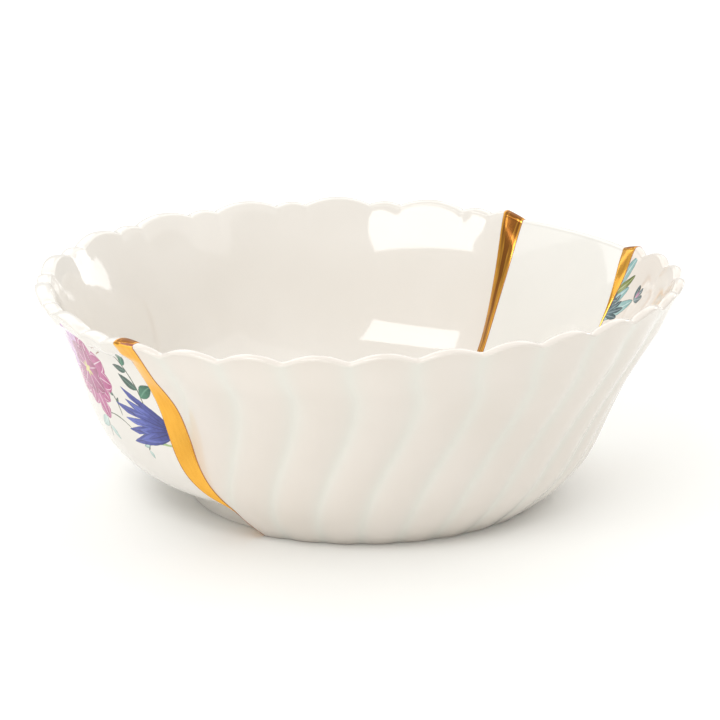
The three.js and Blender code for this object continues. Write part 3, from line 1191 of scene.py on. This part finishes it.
@dataclass(frozen=True)
class GlazedPorcelain:
    """Porcelain under a clear gloss glaze, fired on.

    White and smooth, with sharp reflections that waver a little because the glaze lies unevenly.
    It is a little darker where the glaze lies thicker. In a groove it is cooler, partly from glaze
    that has run there and partly from a painted cool reflection.
    """

    body: str = "E9E5DF"
    pooled: str = "DFDAD2"  # where the glaze lies thicker
    groove_glaze_and_sheen: str = "E1E1D9"  # in a groove, cooler: glaze that has run together there, and a painted cool reflection
    ior: float = 1.5
    roughness: float = 0.06
    cloud_pitch: float = 36.0  # the glaze's tint changes over this distance, in millimetres
    cloud_detail: float = 2.0
    waver_pitch: float = 14.0  # distance between the glaze's waves
    waver_height: float = 0.02
    waver_detail: float = 1.0
    wobble_pitch: float = 1.3  # painted edges wander over this distance
    wobble_detail: float = 2.0
    marks: tuple[Mark, ...] = ()
    painted_side: Side = Side.OUTSIDE
    margin: float = 3.0  # the painted zone reaches this far past where the marks start and end
    side_margin: float = 0.01  # how near to its side's number a point of it lies

    def material(self, name: str, painted: bool) -> bpy.types.Material:
        """Makes the material.

        Args:
            name: its name.
            painted: whether the marks are on it.

        Returns:
            The material. With marks, it reads the piece's place on the wall.
        """
        material, tree = new_material(name)
        new = functools.partial(add_node, tree)
        spot = new("ShaderNodeTexCoord").outputs["Object"]
        scale = 1 / (self.cloud_pitch * MM)
        cloud = new(NOISE, {"Vector": spot, "Scale": scale, "Detail": self.cloud_detail})
        dark, pale = linear_colour(self.pooled), linear_colour(self.body)
        colour = new(MIX, {"Factor": cloud, MIX_FROM: dark, MIX_TO: pale}, data_type="RGBA")
        # The grooves' tint: glaze that has run together, and a painted cool reflection.
        run = new("ShaderNodeAttribute", attribute_name=POOL_AND_SHEEN).outputs["Fac"]
        pooled_and_sheened = {"Factor": run, MIX_FROM: colour, MIX_TO: linear_colour(self.groove_glaze_and_sheen)}
        colour = new(MIX, pooled_and_sheened, data_type="RGBA")
        if painted:
            wall = new("ShaderNodeAttribute", attribute_name=WALL).outputs["Vector"]
            place = new("ShaderNodeSeparateXYZ", {0: wall}).outputs
            scale = 1 / self.wobble_pitch
            wander = new(NOISE, {"Vector": wall, "Scale": scale, "Detail": self.wobble_detail})
            colour = MarkBrush().paint(tree, colour, (place["X"], place["Y"]), wander, self.marks)
        scale = 1 / (self.waver_pitch * MM)
        waves = new(NOISE, {"Vector": spot, "Scale": scale, "Detail": self.waver_detail})
        wavering = {"Height": waves, "Distance": self.waver_height * MM, "Strength": 1.0}
        bump = new("ShaderNodeBump", wavering)
        look = {"Base Color": colour, "Roughness": self.roughness, "IOR": self.ior, "Normal": bump}
        new("ShaderNodeOutputMaterial", {"Surface": new("ShaderNodeBsdfPrincipled", look)})
        return material

    def painted_zone(self, wall: Array) -> Array:
        """Which points of a piece the marks can reach.

        Args:
            wall: the points' places on the wall.

        Returns:
            True for each point in the painted zone.
        """
        reach = np.array([[*mark.start, mark.length + self.margin] for mark in self.marks])
        low, high = (reach[:, :2] - reach[:, 2:]).min(0), (reach[:, :2] + reach[:, 2:]).max(0)
        inside = (wall[:, :2] > low).all(1) & (wall[:, :2] < high).all(1)
        return inside & (np.abs(wall[:, 2] - self.painted_side.value) < self.side_margin)


@dataclass(frozen=True)
class Biscuit:
    """Bare porcelain on the foot's ring, wiped clean of glaze before firing.

    Matte, and a little yellower than the glaze.
    """

    body: str = "E6DCCB"
    grain: str = "D8CCB8"
    grain_pitch: float = 0.6  # coarser than the real 0.1 mm, so that it shows
    roughness: float = 0.8

    def material(self, name: str) -> bpy.types.Material:
        """Makes the material.

        Args:
            name: its name.

        Returns:
            The material.
        """
        material, tree = new_material(name)
        new = functools.partial(add_node, tree)
        spot = new("ShaderNodeTexCoord").outputs["Object"]
        grain = new(NOISE, {"Vector": spot, "Scale": 1 / (self.grain_pitch * MM)})
        dark, pale = linear_colour(self.grain), linear_colour(self.body)
        colour = new(MIX, {"Factor": grain, MIX_FROM: dark, MIX_TO: pale}, data_type="RGBA")
        look = {"Base Color": colour, "Roughness": self.roughness}
        new("ShaderNodeOutputMaterial", {"Surface": new("ShaderNodeBsdfPrincipled", look)})
        return material


@dataclass(frozen=True)
class BurnishedGold:
    """Gold leaf and powder over lacquer, burnished.

    Deep yellow and bright outside. Inside and over the rim, brown streaks along the seam are
    painted as a darker reflection of the room.
    The reddish lacquer shows in a thin line at its edges, and in the fold over the rim its colour
    is painted as shade in the crease.
    """

    gold: str = "FFC65A"
    worn: str = "E9A53E"
    # painted dark reflection: the brown streaked over the gold inside and over the rim
    painted_dark_reflection: str = "8F5A28"
    lacquer: str = "9C5A42"
    roughness: float = 0.12
    streaked: float = 0.22  # roughness in the streaks
    rubbed: float = 0.35  # added to it where hands have rubbed the rim
    streak: Point = (1.1, 0.12)  # a streak's width in millimetres, and that against its length
    streak_detail: float = 3.0
    dark_reflection_streak: Point = (2.2, 0.05)  # the same of a streak of the painted dark reflection
    dark_reflection_detail: float = 4.0
    dark_reflection_range: Point = (0.38, 0.52)  # where in its pattern the painted dark reflection starts and is full
    dark_reflection_edge: Point = (0.3, 1.0)  # how far from the edges the painted dark reflection starts and is full
    line: float = 0.28  # width of the lacquer line
    line_fade: Point = (0.6, 1.3)  # shares of that width between which it fades
    scratch_depth: float = 0.04
    scratch_strength: float = 0.6

    def material(self, name: str) -> bpy.types.Material:
        """Makes the material.

        Args:
            name: its name.

        Returns:
            The material, which reads the piece's seam attribute.
        """
        material, tree = new_material(name)
        new = functools.partial(add_node, tree)
        seam = new("ShaderNodeAttribute", attribute_name=SEAM).outputs["Vector"]
        place = new("ShaderNodeSeparateXYZ", {0: seam}).outputs
        patterns = []
        for (width, slimness), detail in (
            (self.streak, self.streak_detail),
            (self.dark_reflection_streak, self.dark_reflection_detail),
        ):
            scale = (1 / width, slimness / width, 1.0)
            drawn_out = new("ShaderNodeVectorMath", {0: seam, 1: scale}, operation="MULTIPLY")
            patterns.append(new(NOISE, {"Vector": drawn_out, "Scale": 1.0, "Detail": detail}))
        streaks, dark_reflection_patches = patterns
        masks = []
        for value, (start, full), (low, high) in (
            (dark_reflection_patches, self.dark_reflection_range, (0.0, 1.0)),
            (place["X"], self.dark_reflection_edge, (0.0, 1.0)),
            (place["X"], [self.line * share for share in self.line_fade], (1.0, 0.0)),
            (streaks, (0.0, 1.0), (self.roughness, self.streaked)),
        ):
            given = {"From Min": start, "From Max": full, "To Min": low, "To Max": high}
            masks.append(new("ShaderNodeMapRange", {"Value": value, **given}))
        brown, middle, edge, rough = masks
        # Painted dark reflection: brown over the gold, as strong as the seam's third coordinate up
        # to 1; past 1 the gold is rubbed matt.
        dark_reflection_strength = new(MATH, {0: place["Z"], 1: 1.0}, operation="MINIMUM")
        rubbed = new(MATH, {0: place["Z"], 1: dark_reflection_strength}, operation="SUBTRACT")
        painted_dark = new(MATH, {0: brown, 1: middle}, operation="MULTIPLY")
        painted_dark = new(MATH, {0: painted_dark, 1: dark_reflection_strength}, operation="MULTIPLY")
        colour = linear_colour(self.worn)
        for share, over in ((streaks, self.gold), (painted_dark, self.painted_dark_reflection), (edge, self.lacquer)):
            laid = {"Factor": share, MIX_FROM: colour, MIX_TO: linear_colour(over)}
            colour = new(MIX, laid, data_type="RGBA")
        shine = new(MATH, {0: 1.0, 1: edge}, operation="SUBTRACT")
        matt = new(MATH, {0: rubbed, 1: self.rubbed}, operation="MULTIPLY")
        rough = new(MATH, {0: rough, 1: matt}, operation="ADD")
        depth = self.scratch_depth * MM
        scratches = {"Height": streaks, "Distance": depth, "Strength": self.scratch_strength}
        bump = new("ShaderNodeBump", scratches)
        look = {"Base Color": colour, "Metallic": shine, "Roughness": rough, "Normal": bump}
        new("ShaderNodeOutputMaterial", {"Surface": new("ShaderNodeBsdfPrincipled", look)})
        return material


@dataclass(frozen=True)
class FloorPaper:
    """Matte white paper under the bowl. Plain and pale, so that the shade on it shows."""

    colour: str = "F7F7F5"
    roughness: float = 0.6

    def material(self, name: str) -> bpy.types.Material:
        """Makes the material.

        Args:
            name: its name.

        Returns:
            The material.
        """
        material, tree = new_material(name)
        look = {"Base Color": linear_colour(self.colour), "Roughness": self.roughness}
        shader = add_node(tree, "ShaderNodeBsdfPrincipled", look)
        add_node(tree, "ShaderNodeOutputMaterial", {"Surface": shader})
        return material


LEFT_SEAM = Seam(((-29, 1.4), (-30, 1.4), (-32.5, 1.4), (-38.6, 1.3), (-39.2, 5.2), (-43, 7.8)))
RIGHT_SEAM = Seam(((105, 1.3), (106.5, 1.3), (108, 1.3), (110, 1.3), (112, 1.3), (116.6, 7.4)))
BACK_SEAM = Seam(((152, 1.6), (151.5, 1.6), (150.3, 1.8), (148.2, 3.4), (147.1, 5.2), (147.8, 7)))

SCALLOPED = ScallopedWare(
    foot_radius=53.8,
    outside=((55, 7.5), (92, 13.4), (83.8, 44), (99.3, 65.3)),
    inside=((30, 7.5), (91.7, 7.5), (77, 38.3), (96.2, 65.7)),
    lean=(-0.012, 0.02),
)
PLAIN = Ware(
    foot_radius=56.0,
    outside=((57, 4), (88.2, 16.4), (76.3, 33.3), (100.2, 67.6)),
    inside=((30, 7.5), (89.4, 7.5), (67.8, 27.5), (97.1, 68)),
    lean=(-0.03, 0.0),
)
FLUTED = FlutedWare(
    foot_radius=57.9,
    outside=((58.5, 0.6), (84.4, 19.5), (68.8, 22.7), (101.4, 62.8)),
    inside=((30, 7.5), (87.2, 7.5), (58.5, 16.7), (98.2, 63.2)),
    lean=(0.034, -0.045),
)


@dataclass
class Shard:
    """One shard: its ware, its columns, its finish and the CAD node that it stands for."""

    name: str
    node: str
    slot: str
    ware: Ware
    columns: Columns
    finish: GlazedPorcelain
    painting_angle: float = 0.0

    def build(self) -> bpy.types.Object:
        """Makes the shard's piece and dresses it.

        Returns:
            The piece, in place of its CAD node.
        """
        surface = Section(self.ware).surface(self.columns, self.painting_angle)
        extras = {WALL: [surface.wall], POOL_AND_SHEEN: [surface.pool]}
        piece = mesh_from_columns(self.name, [surface.points], extras)
        mesh, finish = piece.data, self.finish
        mesh.materials.append(finish.material(f"{self.name}_gloss_glazed_porcelain", painted=False))
        mesh.materials.append(Biscuit().material(f"{self.name}_ground_biscuit_porcelain"))
        zone_faces(mesh, surface.bare.ravel(), BARE_SLOT)
        if finish.marks:
            painted = finish.material(f"{self.name}_enamel_painted_porcelain", painted=True)
            mesh.materials.append(painted)
            zone_faces(mesh, finish.painted_zone(surface.wall.reshape(-1, 3)), PAINTED_SLOT)
        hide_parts(self.node)
        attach(piece, BODY)
        return piece


@dataclass
class ShardSet:
    """The three shards, with their columns laid out between the seams."""

    per_flute: int = 18
    per_lobe: int = 22
    per_bump: int = 4
    notches: tuple[int, int] = (-2, 12)  # counted from the first lobe's top, past both seams
    seam_room: float = 0.3  # no free column stands nearer to a seam, in degrees
    plain_columns: int = 36
    first_free: float = -19.75
    last_free: float = 106.25
    left_zone: int = 40
    right_zone: int = 18

    def scalloped_columns(self) -> Columns:
        """Columns that meet every notch and bump of the rim.

        Returns:
            The columns, between the back seam and the left one.
        """
        ware = SCALLOPED
        first, last = BACK_SEAM.edge(1), LEFT_SEAM.edge(-1, turns=1)
        rim = (np.array(ware.outside[3][0]), np.array(ware.outside[3][1]))
        start, end = float(first(*rim)), float(last(*rim))
        lobe = np.linspace(ware.bump_share, 1 - ware.bump_share, self.per_lobe + 1)
        bump = np.linspace(-ware.bump_share, ware.bump_share, 2 * self.per_bump + 1)[1:-1]
        notches = ware.first_top - ware.pitch / 2 + ware.pitch * np.arange(*self.notches)
        angles = np.sort((notches[:, None] + ware.pitch * np.concatenate([bump, lobe])).ravel())
        angles = angles[(angles > start + self.seam_room) & (angles < end - self.seam_room)]
        shares = (np.concatenate([[start], angles, [end]]) - start) / (end - start)
        return Columns(first, last, shares)

    def fluted_columns(self) -> Columns:
        """Columns that follow the swirl of the flutes, and turn to follow the seams near them.

        Returns:
            The columns, between the left seam and the right one.
        """
        step = FLUTED.pitch / self.per_flute
        free = np.arange(self.first_free, self.last_free + step / 2, step)
        left = np.linspace(1, 0, self.left_zone + 1)[:-1]
        right = np.linspace(0, 1, self.right_zone + 1)[1:]
        to_first = np.concatenate([left, np.zeros(len(free) + len(right))])
        to_last = np.concatenate([np.zeros(len(left) + len(free)), right])
        angle = np.concatenate([np.full(len(left), free[0]), free, np.full(len(right), free[-1])])
        edges = LEFT_SEAM.edge(1), RIGHT_SEAM.edge(-1)
        even = np.linspace(0, 1, len(angle))
        return SwirledColumns(*edges, even, angle, to_first, to_last, FLUTED.swirl)

    def shards(self) -> list[Shard]:
        """The three shards.

        Returns:
            Each shard with its finish, ready to build.
        """
        even = np.linspace(0, 1, self.plain_columns)
        plain = Columns(RIGHT_SEAM.edge(1), BACK_SEAM.edge(-1), even)
        return [
            Shard(
                "scalloped_shard", "shard_scalloped", "porcelain_scalloped", SCALLOPED,
                self.scalloped_columns(), GlazedPorcelain(marks=outside_painting()),
                painting_angle=295.0,
            ),
            Shard(
                "plain_shard", "shard_plain", "porcelain_plain", PLAIN, plain,
                GlazedPorcelain(body="EBE9E4", pooled="E1DFD9"),
            ),
            Shard(
                "fluted_shard", "shard_fluted", "porcelain_fluted", FLUTED, self.fluted_columns(),
                GlazedPorcelain(
                    body="E7E0D9", pooled="DCD4CA", marks=inside_painting(),
                    painted_side=Side.INSIDE,
                ),
                painting_angle=100.0,
            ),
        ]


@dataclass
class GoldRepair:
    """The gold: an arm in each break, lapped over the glaze beside it, and a round in the well."""

    name: str = "gold_repair"
    node: str = "gold_seam"
    slot: str = "gold"
    lap: float = 0.18
    lap_rise: float = 0.12
    lap_crown: float = 0.8  # the lap's middle rises by this share of that
    sunk: float = 0.03  # its outer edge lies this far under the glaze
    proud: float = 0.33
    waves: tuple[tuple[float, float, float], ...] = (  # share of the rise, number, start
        (0.14, 7.3, 0.0),
        (0.08, 17.1, 0.3),
    )
    fold: float = 0.7  # depth of the fold in the gold over the rim's outer corner
    fold_place: float = 0.7  # where it lies over the rim, 1 outside and -1 inside
    fold_width: float = 0.35
    fold_shade_slope: float = 5.0  # how sharply painted shade, in the lacquer's colour, comes in over the fold
    fold_shade_start: float = 0.8  # and how much of the fold keeps its gold
    rim_dark_reflection_and_rub: float = 1.9  # over the rim the gold gets a painted dark reflection in places and, past 1, is rubbed matt
    bridge_columns: int = 12
    hub_overlap: float = 1.0
    hub_clearance: float = 0.3
    hub_sides: int = 72
    hub_rise: float = 0.62
    hub_under: float = 0.3
    hub_rows: tuple[int, int] = (6, 9)  # round its lower and its upper edge
    hub_place: float = 5.0  # the finish takes all of it as this far from an edge
    # how much painted dark reflection the round in the well has
    hub_dark_reflection: float = 0.5
    finish: BurnishedGold = BurnishedGold()

    def raised(self, row: Array, rise: Array) -> Array:
        """A column of the gold, raised off the wall and kept above the table.

        Args:
            row: the column's points.
            rise: how far each is raised.

        Returns:
            The raised points.
        """
        along = np.roll(row, -1, axis=0) - np.roll(row, 1, axis=0)
        across = np.stack([-row[:, 1], row[:, 0], np.zeros(len(row))], axis=-1)
        normal = np.cross(across, along)
        normal /= np.maximum(np.linalg.norm(normal, axis=-1, keepdims=True), 1e-9)
        raised = row + normal * rise[..., None]
        raised[:, 2] = np.maximum(raised[:, 2], 0)
        return raised

    def beside(self, seam: Seam, ware: Ware, sign: float, margin: float) -> Surface:
        """A ware's skin along one line beside the break.

        Args:
            seam: the break's course.
            ware: the ware.
            sign: -1 for the side at smaller angles and 1 for the other.
            margin: how far inside the gold's edge the line runs. Negative is outside.

        Returns:
            The skin, of one column.
        """
        edge = seam.edge(sign, margin)
        hub = BASE.hub_radius - self.hub_clearance - self.hub_overlap
        return Section(ware, hub_radius=hub).surface(Columns(edge, edge, np.zeros(1)), 0.0)

    def arm(self, seam: Seam, before: Ware, after: Ware, dark_reflection_strength: float) -> tuple[Array, Array]:
        """One arm of gold between two shards.

        Args:
            seam: the break's course.
            before: the ware at smaller angles.
            after: the ware at larger ones.
            dark_reflection_strength: how much painted brown, standing in for a darker reflection of
                the room, the arm has inside, 0 to 1.

        Returns:
            The arm's points, columns by rows by 3, and its seam coordinates.
        """
        margins = (-self.lap, -self.lap / 2, 0.0)
        near, far = (
            [self.beside(seam, ware, sign, margin) for margin in margins]
            for ware, sign in ((before, -1), (after, 1))
        )
        near_lap, far_lap = ([skin.points[0] for skin in line[:2]] for line in (near, far))
        start, end, side = near[-1].points[0], far[-1].points[0], far[-1].wall[0][:, 2]
        shares = np.linspace(0, 1, self.bridge_columns)
        bridge = [start * (1 - share) + end * share for share in shares]
        lap_rises = [-self.sunk, self.lap_rise * self.lap_crown]
        crown = self.lap_rise + (self.proud - self.lap_rise) * (1 - np.abs(2 * shares - 1) ** 3)
        columns = [*near_lap, *bridge, *far_lap[::-1]]
        rises = [*lap_rises, *crown, *lap_rises[::-1]]

        run = np.arange(len(start)) / len(start)
        uneven = np.ones(len(start))
        for height, number, offset in self.waves:
            uneven += height * np.sin(2 * np.pi * (number * run + offset))
        over_rim = np.abs(side) < 1
        fold = np.exp(-(((side - self.fold_place) / self.fold_width) ** 2)) * over_rim
        skin, fold_shade = [], []
        for number, (row, rise) in enumerate(zip(columns, rises)):
            share = number / (len(columns) - 1)
            lift = rise * uneven if rise > 0 else np.full(len(start), rise)
            dip = self.fold * fold * math.sin(math.pi * share) * share
            skin.append(self.raised(row, lift - dip))
            # Painted shade in the fold: the lacquer's dark colour where the crease falls in shade.
            fold_shade.append(np.clip(self.fold_shade_slope * share * fold - self.fold_shade_start, 0, 1))
        skin, fold_shade = np.stack(skin), np.stack(fold_shade)
        from_edges = (np.linalg.norm(skin - edge, axis=-1) for edge in (skin[:1], skin[-1:]))
        from_edge = np.minimum(*from_edges)
        steps = np.diff(skin, axis=1, prepend=skin[:, :1])
        length = np.cumsum(np.linalg.norm(steps, axis=-1), axis=1)
        # Painted dark reflection inside and over the rim; over the rim, past 1, the gold is rubbed
        # matt.
        worn = np.broadcast_to(np.where(over_rim, self.rim_dark_reflection_and_rub, dark_reflection_strength * (side < 0)), length.shape)
        return skin, np.stack([from_edge * (1 - fold_shade), length, worn], axis=-1)

    def hub(self) -> bpy.types.Object:
        """The round of gold in the well, as a low button that runs through the wall.

        Returns:
            The round, with its seam attribute and no material.
        """
        radius = BASE.hub_radius - self.hub_clearance
        rows_under, rows_over = self.hub_rows
        outline = [
            *(
                (radius * math.cos(t), BASE.recess - self.hub_under * math.sin(t))
                for t in np.linspace(math.pi / 2, 0, rows_under)
            ),
            *(
                (radius * math.cos(t), BASE.floor + self.hub_rise * math.sin(t))
                for t in np.linspace(0, math.pi / 2, rows_over)
            ),
        ]
        points, faces, inner, sides = [], [], outline[1:-1], self.hub_sides
        for x, z in inner:
            for side in range(sides):
                turn = 2 * math.pi * side / sides
                points.append((x * math.cos(turn) * MM, x * math.sin(turn) * MM, z * MM))
        points += [(0, 0, outline[0][1] * MM), (0, 0, outline[-1][1] * MM)]
        low, high, last = len(points) - 2, len(points) - 1, (len(inner) - 1) * sides
        for row in range(len(inner) - 1):
            for side in range(sides):
                here, there = row * sides + side, row * sides + (side + 1) % sides
                faces.append((here, there, there + sides, here + sides))
        for side in range(sides):
            following = (side + 1) % sides
            faces.append((low, following, side))
            faces.append((high, last + side, last + following))
        mesh = bpy.data.meshes.new("gold_round")
        mesh.from_pydata(points, [], faces)
        place = mesh.attributes.new(SEAM, "FLOAT_VECTOR", "POINT")
        values = [(self.hub_place, point[0] / MM, self.hub_dark_reflection) for point in points]
        place.data.foreach_set("vector", np.array(values, np.float32).ravel())
        mesh.polygons.foreach_set("use_smooth", [True] * len(mesh.polygons))
        button = bpy.data.objects.new("gold_round", mesh)
        bpy.context.scene.collection.objects.link(button)
        return button

    def build(self) -> bpy.types.Object:
        """Makes the gold and dresses it.

        Returns:
            The piece, in place of its CAD node.
        """
        # How much painted dark reflection each arm has inside.
        arms = [
            self.arm(LEFT_SEAM, SCALLOPED, FLUTED, dark_reflection_strength=0.7),
            self.arm(RIGHT_SEAM, FLUTED, PLAIN, dark_reflection_strength=0.3),
            self.arm(BACK_SEAM, PLAIN, SCALLOPED, dark_reflection_strength=1.0),
        ]
        skins, places = zip(*arms)
        piece = mesh_from_columns(self.name, skins, {SEAM: places})
        button = self.hub()
        bpy.ops.object.select_all(action="DESELECT")
        button.select_set(True)
        piece.select_set(True)
        bpy.context.view_layer.objects.active = piece
        bpy.ops.object.join()
        piece.data.materials.clear()
        piece.data.materials.append(self.finish.material("burnished_gold_leaf_on_lacquer"))
        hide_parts(self.node)
        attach(piece, BODY)
        return piece


@dataclass(frozen=True)
class Softbox:
    """A soft light: its direction in degrees, its distance and size in metres, its watts."""

    name: str
    round_from_front: float
    up: float
    distance: float
    size: Point
    power: float


@dataclass
class Studio:
    """A plain pale floor, soft lights and the camera, in metres."""

    camera_place: Point = (-0.9674, 0.3207)  # along Y, and up
    camera_pitch: float = 16.11  # degrees below the horizon
    lens: float = 159.45
    sensor: float = 36.0
    floor_size: float = 12.0
    paper: FloorPaper = FloorPaper()
    room_colour: str = "FFFFFD"
    room: float = 0.71
    aim: float = 0.04  # the softboxes face a point this far over the table
    softboxes: tuple[Softbox, ...] = (
        Softbox("front_left", -29.0, 42.0, 1.3, (0.92, 0.42), 6.6),
        Softbox("right", 90.0, 50.0, 1.3, (1.3, 1.0), 3.1),
        Softbox("back_right", 150.0, 35.0, 1.4, (1.1, 0.9), 3.2),
        Softbox("low_strip", 135.0, 12.0, 1.5, (0.5, 0.3), 1.4),
        Softbox("left", -100.0, 55.0, 1.3, (0.8, 0.6), 1.3),
        Softbox("back_left", -150.0, 40.0, 1.4, (1.1, 0.9), 4.1),
    )

    def camera(self) -> None:
        """Places the camera at the photo's viewing angle."""
        data = bpy.data.cameras.new("camera")
        data.lens, data.sensor_width = self.lens, self.sensor
        data.sensor_fit = "HORIZONTAL"
        camera = bpy.data.objects.new("camera", data)
        camera.location = (0.0, *self.camera_place)
        camera.rotation_euler = (math.radians(90 - self.camera_pitch), 0.0, 0.0)
        bpy.context.scene.collection.objects.link(camera)
        bpy.context.scene.camera = camera

    def floor(self) -> None:
        """Lays the plain floor."""
        half = self.floor_size / 2
        corners = [(x * half, y * half, 0) for x, y in ((-1, -1), (1, -1), (1, 1), (-1, 1))]
        mesh = bpy.data.meshes.new("floor")
        mesh.from_pydata(corners, [], [(0, 1, 2, 3)])
        floor = bpy.data.objects.new("floor", mesh)
        bpy.context.scene.collection.objects.link(floor)
        mesh.materials.append(self.paper.material("matte_white_paper"))

    def hang(self, box: Softbox) -> None:
        """Hangs one softbox, facing the bowl.

        Args:
            box: the softbox.
        """
        data = bpy.data.lights.new(box.name, "AREA")
        data.shape, data.size, data.size_y, data.energy = "RECTANGLE", *box.size, box.power
        light = bpy.data.objects.new(box.name, data)
        turn, lift = math.radians(box.round_from_front), math.radians(box.up)
        level = math.cos(lift)
        away = Vector((math.sin(turn) * level, -math.cos(turn) * level, math.sin(lift)))
        light.location = away * box.distance + Vector((0.0, 0.0, self.aim))
        light.rotation_euler = away.to_track_quat("Z", "Y").to_euler()
        bpy.context.scene.collection.objects.link(light)

    def lights(self) -> None:
        """Hangs the softboxes in a pale room."""
        for box in self.softboxes:
            self.hang(box)
        world = bpy.data.worlds.new("room")
        world.use_nodes = True
        glow = world.node_tree.nodes["Background"].inputs
        glow["Color"].default_value = linear_colour(self.room_colour)
        glow["Strength"].default_value = self.room
        bpy.context.scene.world = world
        bpy.context.scene.view_settings.view_transform = "Standard"

    def build(self) -> None:
        """Sets up everything that isn't the bowl."""
        self.camera()
        self.floor()
        self.lights()


def main() -> None:
    """Builds the studio, the shards and the gold."""
    Studio().build()
    LOG.info("studio: floor, lights and camera")
    for shard in ShardSet().shards():
        piece = shard.build()
        LOG.info("%s: %d faces", piece.name, len(piece.data.polygons))
    gold = GoldRepair().build()
    LOG.info("%s: %d faces", gold.name, len(gold.data.polygons))


if __name__ == "__main__":
    main()
